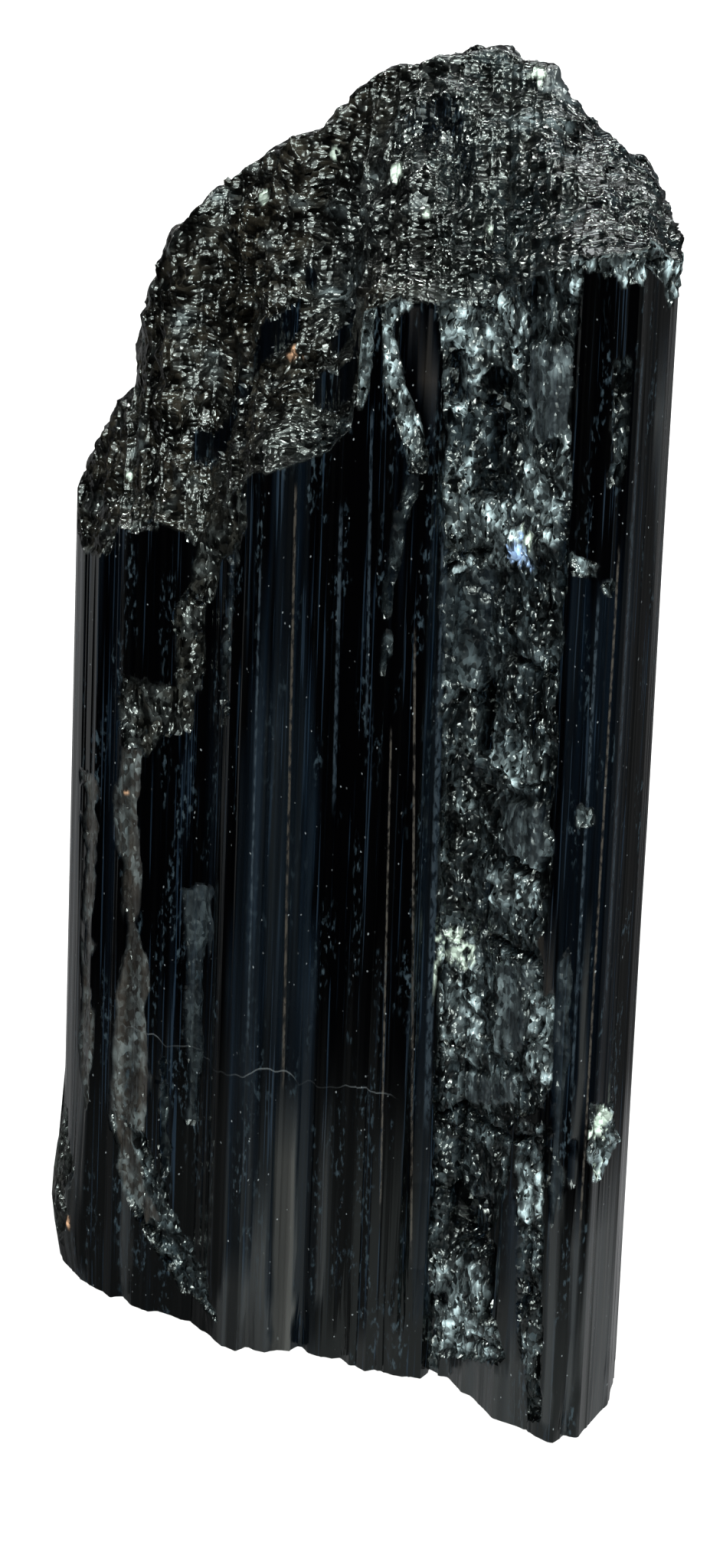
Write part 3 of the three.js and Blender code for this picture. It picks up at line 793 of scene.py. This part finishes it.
def skin_break(skin, looks):
    """Adds the break's points; gives each station's line of points from its front rim to its back rim."""
    rows = [resample(row, BREAK_STEP) for row in looks]
    sizes = [len(row) for row in rows]
    ends = np.cumsum(sizes)
    points, direction, polish = np.split(np.vstack(rows), (3, 6), axis=1)
    polish = polish[:, 0]
    grain = break_grain(points) * (1 - polish)
    points = points + direction * grain[:, None]
    numbers = skin.add(points, break_looks(points, polish))
    return [numbers[end - size:end] for size, end in zip(sizes, ends)]


def build_skin():
    """The whole outside of the crystal as one closed skin, in mm."""
    front_chain, back_chain = wall_chains()
    places = station_places(front_chain, back_chain)
    front = Side(Wall(front_chain, places, 1), True)
    back = Side(Wall(back_chain, places, -1), False)
    stations = np.arange(STATIONS)
    front_rims = front.points(stations, front.wall.rim)[0][:, :2]
    back_rims = back.points(stations, back.wall.rim)[0][:, :2]
    looks = look_over_break((front.wall.inset, back.wall.inset), (front_rims, back_rims))
    skin = Skin()
    break_lines = skin_break(skin, looks)
    breaks = np.vstack(skin.points)
    front_tops = np.array([breaks[line[0], 2] for line in break_lines])
    back_tops = np.array([breaks[line[-1], 2] for line in break_lines])
    front_lines = skin_walls(front, skin, front_tops)
    back_lines = skin_walls(back, skin, back_tops)
    for i in (0, STATIONS - 1):
        back_lines[i] = front_lines[i]
        break_lines[i] = break_lines[i][:1]
    skin.finish()
    for i in range(STATIONS - 1):
        skin.zip(front_lines[i] + break_lines[i][:1], front_lines[i + 1] + break_lines[i + 1][:1])
        skin.zip(break_lines[i], break_lines[i + 1])
        back_left = [break_lines[i][-1]] + back_lines[i][::-1]
        back_right = [break_lines[i + 1][-1]] + back_lines[i + 1][::-1]
        skin.zip(back_left, back_right)
        skin.zip([back_lines[i][0], front_lines[i][0]], [back_lines[i + 1][0], front_lines[i + 1][0]])
    return skin


# ---- stains, pale crusts and painted glint clusters: middle and radius in mm, colour ----

# Pale green-white: the spots of it on the break and in the rough band are clusters of glints painted as
# colour; the others are pale crust.
GLINT_AND_CRUST = (0.44, 0.54, 0.46)
BLUE_CRUST = (0.24, 0.36, 0.56)
RUST = (0.42, 0.25, 0.15)
SPOTS = (
    ((12.3, -12.8, 77.0), 1.0, BLUE_CRUST), ((10.6, -11.6, 76.2), 0.5, BLUE_CRUST),
    ((13.0, -13.4, 78.6), 0.7, GLINT_AND_CRUST), ((-3.1, 5.3, 102.4), 0.6, GLINT_AND_CRUST), ((1.8, -0.4, 103.5), 0.6, GLINT_AND_CRUST),
    ((4.3, -3.9, 101.5), 0.5, GLINT_AND_CRUST), ((9.2, -4.0, 100.3), 0.6, GLINT_AND_CRUST), ((-8.7, 6.5, 97.8), 0.6, GLINT_AND_CRUST),
    ((12.3, 3.3, 110.4), 0.6, GLINT_AND_CRUST), ((-18.7, 5.5, 73.9), 0.5, GLINT_AND_CRUST), ((22.6, -14.5, 64.6), 0.5, GLINT_AND_CRUST),
    ((-5.6, -1.0, 88.0), 0.65, RUST), ((-18.3, 1.0, 47.5), 0.55, RUST), ((-22.3, 4.7, 4.9), 0.5, RUST),
    ((9.2, -9.5, 39.6), 1.5, GLINT_AND_CRUST), ((21.2, -17.5, 29.0), 1.3, GLINT_AND_CRUST), ((21.3, -17.5, 24.8), 0.8, GLINT_AND_CRUST),
)


def spot_colours(points):
    """Colour of the stains, pale crusts and painted glint clusters at each point, and how much of it
    shows.
    """
    colours = np.zeros((len(points), 4))
    fray = noise(points, 0.7, 111) + 0.6 * noise(points, 0.35, 112)
    for middle, radius, colour in SPOTS:
        near = ramp(radius * (1 + 0.8 * fray) - np.linalg.norm(points - middle, axis=1), 0, 0.2)
        more = near > colours[:, 3]
        colours[more, :3] = colour
        colours[more, 3] = near[more]
    return colours


# ---- mesh ----

def crystal_mesh():
    """The skin as a mesh in metres, with what it is like at each point as attributes."""
    skin = build_skin()
    used, triangles = np.unique(np.array(skin.triangles), return_inverse=True)
    triangles = triangles.reshape(-1, 3)
    mesh = bpy.data.meshes.new("crystal_skin")
    mesh.from_pydata((skin.points[used] * MM).tolist(), [], triangles.tolist())
    for column, name in enumerate(("rough", "satin", "warm", "glitter", "pale", "on_break")):
        attribute = mesh.attributes.new(name, "FLOAT", "POINT")
        attribute.data.foreach_set("value", skin.looks[used, column].astype(np.float32))
    spots = mesh.attributes.new("spots", "FLOAT_COLOR", "POINT")
    spots.data.foreach_set("color", spot_colours(skin.points[used]).astype(np.float32).ravel())
    rough = skin.looks[used, 0]
    mesh.polygons.foreach_set("use_smooth", rough[triangles].min(axis=1) > GRAINY)
    mesh.validate()
    mesh.update()
    return mesh


# ---- material ----

class Nodes:
    """Short calls for building a node tree."""

    def __init__(self, tree):
        self.tree = tree
        tree.nodes.clear()

    def add(self, kind, inputs=(), **settings):
        node = self.tree.nodes.new("ShaderNode" + kind)
        for name, value in settings.items():
            setattr(node, name, value)
        for name, value in dict(inputs).items():
            self.set(node, name, value)
        return node

    def set(self, node, name, value):
        socket = node.inputs[name]
        if isinstance(value, bpy.types.NodeSocket):
            self.tree.links.new(value, socket)
        else:
            socket.default_value = value

    def math(self, operation, *values):
        return self.add("Math", enumerate(values), operation=operation).outputs[0]

    def times(self, first, *others):
        """The product of two or more values."""
        for other in others:
            first = self.math("MULTIPLY", first, other)
        return first

    def vector(self, operation, *values):
        node = self.add("VectorMath", operation=operation)
        for i, value in enumerate(values):
            self.set(node, "Scale" if operation == "SCALE" and i == 1 else i, value)
        return node.outputs["Value" if operation == "LENGTH" else "Vector"]

    def ramp(self, value, low, high, start=0.0, end=1.0):
        inputs = {"Value": value, "From Min": low, "From Max": high, "To Min": start, "To Max": end}
        return self.add("MapRange", inputs, interpolation_type="SMOOTHSTEP").outputs["Result"]

    def mix(self, share, first, second):
        """A colour between two colours."""
        node = self.add("Mix", data_type="RGBA")
        self.set(node, 0, share)
        self.set(node, 6, first)
        self.set(node, 7, second)
        return node.outputs[2]

    def attribute(self, name):
        return self.add("Attribute", attribute_name=name).outputs["Fac"]

    def noise(self, place, scale, detail):
        return self.add("TexNoise", {"Vector": place, "Scale": scale, "Detail": detail}).outputs["Fac"]

    def noise_colour(self, place, scale, detail):
        return self.add("TexNoise", {"Vector": place, "Scale": scale, "Detail": detail}).outputs["Color"]

    def channels(self, colour):
        """The red, green and blue of a colour."""
        return self.add("SeparateColor", {"Color": colour}).outputs

    def end(self, kind, surface):
        """Joins the finished surface to the tree's output."""
        self.set(self.add(kind), "Surface", surface)


def new_material(name):
    """A material and its empty node tree."""
    material = bpy.data.materials.new(name)
    material.use_nodes = True
    return material, Nodes(material.node_tree)


def add_object(name, data):
    """A new object in the scene."""
    thing = bpy.data.objects.new(name, data)
    bpy.context.scene.collection.objects.link(thing)
    return thing


# Places are in metres here, so the scales are per metre. Colours are linear.
GRAIN_SCALE = 2750        # grains per metre
BEAD_ROUNDNESS = 0.85     # how far a grain's surface leans at its edge
OWN_TILT = 1.3            # how far each grain leans its own way
LUMP_TILT = 1.5           # how far neighbouring grains lean together
STRIAE_TILT = 0.22        # how far the fine striae lean on smooth faces
IOR = 1.63
SPECULAR_TINT = (0.89, 1.0, 0.96, 1)
HALF = (0.5, 0.5, 0.5)

BLACK = (0.0002, 0.0002, 0.0003, 1)
# Dark blue of the satin faces: a painted sheen of the cool light, on top of their real rougher finish.
SATIN_SHEEN = (0.0012, 0.0033, 0.0064, 1)
BROWN_GRAIN = (0.0042, 0.0037, 0.0026, 1)
BLUE_GRAIN = (0.0026, 0.0046, 0.0058, 1)
# Pale of the grains; on the beads it is raised on the bump tops and taken out of the gaps, a painted
# highlight and painted shade.
PALE_GRAIN = (0.152, 0.196, 0.203, 1)
# TAN and the grey below: warm and cool pale of the crusts and slabs, also mixed into the painted
# reflections of the floor and surroundings.
TAN = (0.046, 0.037, 0.028, 1)
GREY_DUST_AND_REFLECTION = (0.031, 0.041, 0.046, 1)
# Colours of the long thin lines of painted highlight on the smooth faces.
WARM_HIGHLIGHT = (0.030, 0.026, 0.021, 1)
COOL_HIGHLIGHT = (0.012, 0.019, 0.026, 1)
MOTTLE = (0.015, 0.025, 0.032, 1)
DUST = (0.22, 0.25, 0.26, 1)
# Long thin lines of painted highlight on the front, where striation edges catch the light: x at the foot,
# lean, top, bottom, half width.
WARM_HIGHLIGHTS = ((6.9, -0.033, 68.3, 12, 0.13), (4.1, -0.017, 59, 16, 0.11), (-4.2, -0.012, 79, 26, 0.14),
              (19.9, 0.001, 80, 20, 0.12), (-13.9, 0.0, 62, 22, 0.12))
COOL_HIGHLIGHTS = ((2.3, -0.020, 86, 60, 0.16), (-0.6, -0.012, 77, 52, 0.20), (7.6, -0.012, 80, 24, 0.35),
              (-7.3, -0.006, 72, 30, 0.12), (18.6, 0.0, 76, 34, 0.16), (21.0, 0.0, 96, 40, 0.14))


def grain_place(nodes, place):
    """Where the grain is looked up: bent, and drawn out along x on the break and along z on the walls."""
    bend = nodes.vector("SUBTRACT", nodes.noise_colour(place, 260, 0), HALF)
    bent = nodes.vector("ADD", place, nodes.vector("SCALE", bend, 0.0016))
    stretch = nodes.mix(nodes.attribute("on_break"), (1, 1, 0.62, 1), (0.5, 1, 1, 1))
    return nodes.vector("MULTIPLY", bent, stretch)


def dust(nodes, place, split, grain, chance):
    """Share of the surface under specks of dust and one faint hairline crack across the front."""
    speck = nodes.times(nodes.ramp(grain.outputs["Distance"], 0.08, 0.22, 1, 0),
                        nodes.ramp(chance, 0.92, 0.99, 0, 0.6))
    wander = nodes.noise(nodes.vector("MULTIPLY", place, (1, 1, 0.1)), 240, 2)
    level = nodes.math("SUBTRACT", split.outputs["Z"], nodes.math("MULTIPLY_ADD", wander, 0.005, 0.0235))
    crack = nodes.times(nodes.ramp(split.outputs["X"], 0.003, 0.005, 1, 0),
                        nodes.ramp(split.outputs["Y"], 0.0, 0.002, 1, 0),
                        nodes.ramp(wander, 0.42, 0.62, 0.02, 0.16),
                        nodes.ramp(nodes.math("ABSOLUTE", level), 0.00003, 0.00010, 1, 0))
    return nodes.math("MAXIMUM", speck, crack)


def front_lines(nodes, split, lines):
    """Share of the surface under long thin lines of painted highlight on the front, where striation edges
    catch the light.
    """
    total = 0.0
    for foot, lean, top, bottom, half_width in lines:
        middle = nodes.math("MULTIPLY_ADD", split.outputs["Z"], lean, foot * MM)
        away = nodes.math("ABSOLUTE", nodes.math("SUBTRACT", split.outputs["X"], middle))
        line = nodes.times(nodes.ramp(away, half_width * 0.4 * MM, half_width * MM, 1, 0),
                           nodes.ramp(split.outputs["Z"], (bottom - 2) * MM, (bottom + 2) * MM),
                           nodes.ramp(split.outputs["Z"], (top - 1) * MM, (top + 1) * MM, 1, 0))
        total = nodes.math("MAXIMUM", line, total)
    in_front = nodes.ramp(split.outputs["Y"], -0.004, -0.002, 1, 0)
    return nodes.times(total, in_front)


class Schorl:
    """Parts of the crystal's material: its grains, smooth faces, stains and painted glints, tilt and
    gloss.
    """

    def __init__(self, nodes):
        self.nodes = nodes
        self.place = nodes.add("TexCoord").outputs["Object"]
        self.split = nodes.add("SeparateXYZ", {"Vector": self.place})
        self.rough = nodes.attribute("rough")
        self.glitter = nodes.attribute("glitter")
        self.pale = nodes.attribute("pale")
        self.warm = nodes.attribute("warm")
        self.drawn = grain_place(nodes, self.place)
        self.grain = nodes.add("TexVoronoi", {"Vector": self.drawn, "Scale": GRAIN_SCALE})
        self.chances = nodes.channels(self.grain.outputs["Color"])
        self.lumps = nodes.noise_colour(self.drawn, 900, 1)
        self.blotch = nodes.noise(self.drawn, 420, 2)
        lengthwise = nodes.vector("MULTIPLY", self.place, (1, 1, 0.012))
        self.streaks = nodes.channels(nodes.noise_colour(lengthwise, 1300, 1))
        self.fine_streaks = nodes.channels(nodes.noise_colour(lengthwise, 5600, 1))

    def grain_colour(self):
        nodes = self.nodes
        colour = nodes.mix(self.warm, BLUE_GRAIN, BROWN_GRAIN)
        colour = nodes.mix(self.pale, colour, PALE_GRAIN)
        brightness = nodes.times(nodes.ramp(self.chances[0], 0, 1, 0.15, 1.8),
                                 nodes.ramp(nodes.channels(self.lumps)[0], 0.35, 0.65, 0.3, 1.7),
                                 nodes.ramp(self.blotch, 0.35, 0.65, 0.25, 1.6))
        return nodes.vector("SCALE", colour, brightness)

    def smooth_colour(self):
        """Colour of the smooth faces, and how satin they are with their painted highlight lines, painted
        blue sheen and mottling.
        """
        nodes = self.nodes
        satin = nodes.attribute("satin")
        presence = nodes.noise(nodes.vector("MULTIPLY", self.place, (1, 1, 0.15)), 620, 2)
        flecks = nodes.noise(nodes.vector("MULTIPLY", self.place, (1, 1, 0.35)), 3300, 2)
        uneven = nodes.ramp(flecks, 0.34, 0.60, 0.10, 1.0)
        # Thin lighter lines along the striae: painted highlights where striation edges catch the light.
        line = nodes.times(nodes.ramp(self.fine_streaks[0], 0.56, 0.66),
                           nodes.ramp(self.streaks[1], 0.48, 0.6))
        mottle = nodes.times(nodes.ramp(presence, 0.52, 0.64), nodes.ramp(flecks, 0.52, 0.72),
                             nodes.ramp(satin, 0.2, 0.7, 1.0, 0.25))
        warm_highlights = nodes.times(front_lines(nodes, self.split, WARM_HIGHLIGHTS), uneven)
        cool_highlights = nodes.times(front_lines(nodes, self.split, COOL_HIGHLIGHTS), uneven)
        streak = nodes.times(nodes.ramp(self.streaks[0], 0.3, 0.7, 0.5, 1.4),
                             nodes.ramp(self.fine_streaks[1], 0.3, 0.7, 0.7, 1.3))
        streak = nodes.math("ADD", streak, nodes.times(line, 1.6))
        for share in (nodes.times(line, 0.9), mottle, warm_highlights, cool_highlights):
            satin = nodes.math("MAXIMUM", satin, share)
        # Pale colour of the smooth faces: the painted reflections of the floor and surroundings, and the
        # crusts' own colour.
        dust_and_reflection = nodes.mix(self.warm, GREY_DUST_AND_REFLECTION, TAN)
        colour = nodes.mix(self.pale, nodes.vector("SCALE", SATIN_SHEEN[:3], streak), dust_and_reflection)
        colour = nodes.mix(satin, BLACK, colour)
        specks = dust(nodes, self.place, self.split, self.grain, self.chances[1])
        colour = nodes.mix(warm_highlights, colour, WARM_HIGHLIGHT)
        colour = nodes.mix(cool_highlights, colour, COOL_HIGHLIGHT)
        colour = nodes.mix(mottle, colour, MOTTLE)
        colour = nodes.mix(specks, colour, DUST)
        return colour, satin

    def with_stains_and_glints(self, colour):
        """The colour with the stains, pale crusts and painted glint clusters over it."""
        spots = self.nodes.add("Attribute", attribute_name="spots")
        brightness = self.nodes.ramp(self.chances[0], 0, 1, 0.2, 1.5)
        spot_colour = self.nodes.vector("SCALE", spots.outputs["Color"], brightness)
        return self.nodes.mix(spots.outputs["Alpha"], colour, spot_colour)

    def lean(self, colour, amount):
        """A tilt in the direction that a colour stands for."""
        return self.nodes.vector("SCALE", self.nodes.vector("SUBTRACT", colour, HALF), amount)

    def normal(self):
        """The surface's direction, tilted by striae on smooth faces and grain by grain on rough ones."""
        nodes = self.nodes
        bead = nodes.vector("SUBTRACT", self.drawn, self.grain.outputs["Position"])
        bead = nodes.vector("SCALE", bead, BEAD_ROUNDNESS * GRAIN_SCALE)
        tilt = nodes.vector("ADD", bead, self.lean(self.grain.outputs["Color"], OWN_TILT))
        tilt = nodes.vector("ADD", tilt, self.lean(self.lumps, LUMP_TILT))
        lively = nodes.times(self.rough, nodes.ramp(self.glitter, 0, 1, 0.7, 1.4))
        across = {"X": self.fine_streaks[2], "Y": self.fine_streaks[0], "Z": 0.5}
        across = nodes.add("CombineXYZ", across).outputs[0]
        striae = self.lean(across, nodes.ramp(self.rough, 0, 1, STRIAE_TILT, 0.0))
        normal = nodes.vector("ADD", nodes.add("NewGeometry").outputs["Normal"], striae)
        return nodes.vector("NORMALIZE", nodes.vector("ADD", normal, nodes.vector("SCALE", tilt, lively)))

    def roughness(self, satin):
        """Gloss of the smooth faces and of the grains: the more glitter, the glossier."""
        nodes = self.nodes
        gloss = nodes.ramp(self.streaks[2], 0.3, 0.7, 0.10, 0.19)
        gloss = nodes.math("ADD", gloss, nodes.times(satin, 0.20))
        sparkle = nodes.times(self.glitter, nodes.ramp(self.blotch, 0.35, 0.6))
        roughness = nodes.add("Mix", data_type="FLOAT")
        nodes.set(roughness, 0, self.rough)
        nodes.set(roughness, 2, gloss)
        nodes.set(roughness, 3, nodes.ramp(sparkle, 0, 1, 0.24, 0.08))
        return roughness.outputs[0]


def schorl_material():
    material, nodes = new_material("schorl")
    stone = Schorl(nodes)
    smooth_colour, satin = stone.smooth_colour()
    colour = nodes.mix(stone.rough, smooth_colour, stone.grain_colour())
    shader = nodes.add("BsdfPrincipled", {
        "Base Color": stone.with_stains_and_glints(colour), "Roughness": stone.roughness(satin), "Normal": stone.normal(),
        "IOR": IOR, "Specular Tint": SPECULAR_TINT})
    nodes.end("OutputMaterial", shader.outputs[0])
    return material


def make_crystal():
    """The visual crystal; it stands for the CAD node and rides on the one body."""
    mesh = crystal_mesh()
    mesh.materials.append(schorl_material())
    crystal = add_object("crystal_skin", mesh)
    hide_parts("crystal")
    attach(crystal, "root")


# ---- stage ----

TARGET = (0.407, -3.93, 51.7)   # what the camera looks at, mm
ELEVATION = math.radians(27)
DISTANCE = 622.0
ROLL = math.radians(-2.26)
LENS = 177.73
SENSOR = 36.0


def make_camera():
    outward_view = Vector((0, -math.cos(ELEVATION), math.sin(ELEVATION)))
    right = Vector((1, 0, 0))
    up = outward_view.cross(right)
    rolled_right = right * math.cos(ROLL) - up * math.sin(ROLL)
    rolled_up = up * math.cos(ROLL) + right * math.sin(ROLL)
    place = (Vector(TARGET) + outward_view * DISTANCE) * MM
    matrix = Matrix((rolled_right, rolled_up, outward_view)).transposed().to_4x4()
    matrix.translation = place
    data = bpy.data.cameras.new("camera")
    data.lens = LENS
    data.sensor_width = SENSOR
    data.clip_start = 0.01
    camera = add_object("camera", data)
    camera.matrix_world = matrix
    bpy.context.scene.camera = camera


def plane(name, size, height):
    half = size / 2
    corners = [(-half, -half, height), (half, -half, height), (half, half, height), (-half, half, height)]
    mesh = bpy.data.meshes.new(name)
    mesh.from_pydata(corners, [], [(0, 1, 2, 3)])
    thing = add_object(name, mesh)
    return thing


def make_floor():
    floor = plane("floor", 8.0, 0.0)
    material, nodes = new_material("floor")
    shader = nodes.add("BsdfPrincipled", {
        "Base Color": (0.30, 0.30, 0.30, 1), "Roughness": 0.9, "Emission Color": (1, 1, 1, 1),
        "Emission Strength": 0.62, "Specular IOR Level": 0.1})
    nodes.end("OutputMaterial", shader.outputs[0])
    floor.data.materials.append(material)
    floor.visible_glossy = False


def glow(nodes, turn, first, last, start, end):
    """A glow that goes from start to end between two directions, in degrees from the front."""
    return nodes.ramp(turn, math.radians(first), math.radians(last), start, end)


def make_reflected_floor():
    """What the glossy faces mirror: pale close to the crystal and out to its sides, dark in front."""
    card = plane("reflected_floor", 4.0, -0.0004)
    card.visible_camera = False
    card.visible_diffuse = False
    card.visible_transmission = False
    card.visible_shadow = False
    material, nodes = new_material("reflected_floor")
    place = nodes.add("NewGeometry").outputs["Position"]
    split = nodes.add("SeparateXYZ", {"Vector": place})
    from_middle = nodes.vector("LENGTH", nodes.vector("MULTIPLY", place, (0.75, 1, 0)))
    near = nodes.ramp(from_middle, 0.030, 0.062, 1.0, 0.0)
    turn = nodes.math("ARCTAN2", split.outputs["X"], nodes.math("MULTIPLY", split.outputs["Y"], -1.0))
    right = glow(nodes, turn, 55, 75, 0.0, 0.07)
    far_right = glow(nodes, turn, 145, 162, 0.0, 0.10)
    left = glow(nodes, turn, -128, -106, 0.28, 0.0)
    near_left = glow(nodes, turn, -40, -2, 0.08, 0.34)
    far = nodes.math("ADD", nodes.math("ADD", right, far_right), left)
    strength = nodes.math("MAXIMUM", nodes.times(near, near_left), far)
    light = nodes.add("Emission", {"Color": (0.97, 0.98, 1.0, 1), "Strength": strength})
    nodes.end("OutputMaterial", light.outputs[0])
    card.data.materials.append(material)


def softbox(name, azimuth, elevation, distance, size, radiance, colour):
    """A square area light looking at the crystal; azimuth 0 is in front, +90 to the right."""
    turn = math.radians(azimuth)
    rise = math.radians(elevation)
    flat = math.cos(rise)
    direction = Vector((math.sin(turn) * flat, -math.cos(turn) * flat, math.sin(rise)))
    data = bpy.data.lights.new(name, "AREA")
    data.size = size
    data.energy = radiance * math.pi * size * size
    data.color = colour
    light = add_object(name, data)
    light.location = LIT_POINT + direction * distance
    light.rotation_euler = direction.to_track_quat("Z", "Y").to_euler()


LIT_POINT = Vector((0, 0, 0.05))  # where every light points
# Azimuth and elevation of the small bright lights that make the grains glint.
SPARKS = ((-26, 27), (-8, 60), (18, 44), (6, 16), (46, 32), (-130, 62), (110, 36), (150, 44), (-150, 36))


def make_lights():
    softbox("front_light", -1, 34, 1.0, 0.85, 2.6, (0.95, 1.0, 1.0))
    softbox("top_light", 10, 66, 0.75, 0.34, 4.0, (1.0, 0.99, 0.97))
    softbox("right_light", 70, 34, 0.80, 0.26, 6.0, (0.90, 0.98, 1.0))
    softbox("left_light", -80, 40, 0.85, 0.24, 1.0, (1.0, 0.97, 0.87))
    softbox("back_light", 170, 42, 0.90, 0.60, 4.0, (0.97, 0.98, 1.0))
    for azimuth, elevation in SPARKS:
        softbox("spark_light", azimuth, elevation, 0.9, 0.07, 165.0, (0.99, 1.0, 0.97))


def make_world():
    """Pale where the camera sees it, dim where the crystal mirrors it."""
    world = bpy.data.worlds.new("studio")
    bpy.context.scene.world = world
    world.use_nodes = True
    nodes = Nodes(world.node_tree)
    path = nodes.add("LightPath")
    pale = nodes.add("Background", {"Color": (0.9, 0.9, 0.9, 1), "Strength": 1.0})
    soft = nodes.add("Background", {"Color": (0.95, 0.97, 1.0, 1), "Strength": 0.42})
    dim = nodes.add("Background", {"Color": (0.9, 0.95, 1.0, 1), "Strength": 0.025})
    mirrored = path.outputs["Is Glossy Ray"]
    seen = path.outputs["Is Camera Ray"]
    others = nodes.add("MixShader", {0: mirrored, 1: soft.outputs[0], 2: dim.outputs[0]})
    whole = nodes.add("MixShader", {0: seen, 1: others.outputs[0], 2: pale.outputs[0]})
    nodes.end("OutputWorld", whole.outputs[0])


make_camera()
make_crystal()
make_floor()
make_reflected_floor()
make_lights()
make_world()
bpy.context.scene.view_settings.view_transform = "Standard"
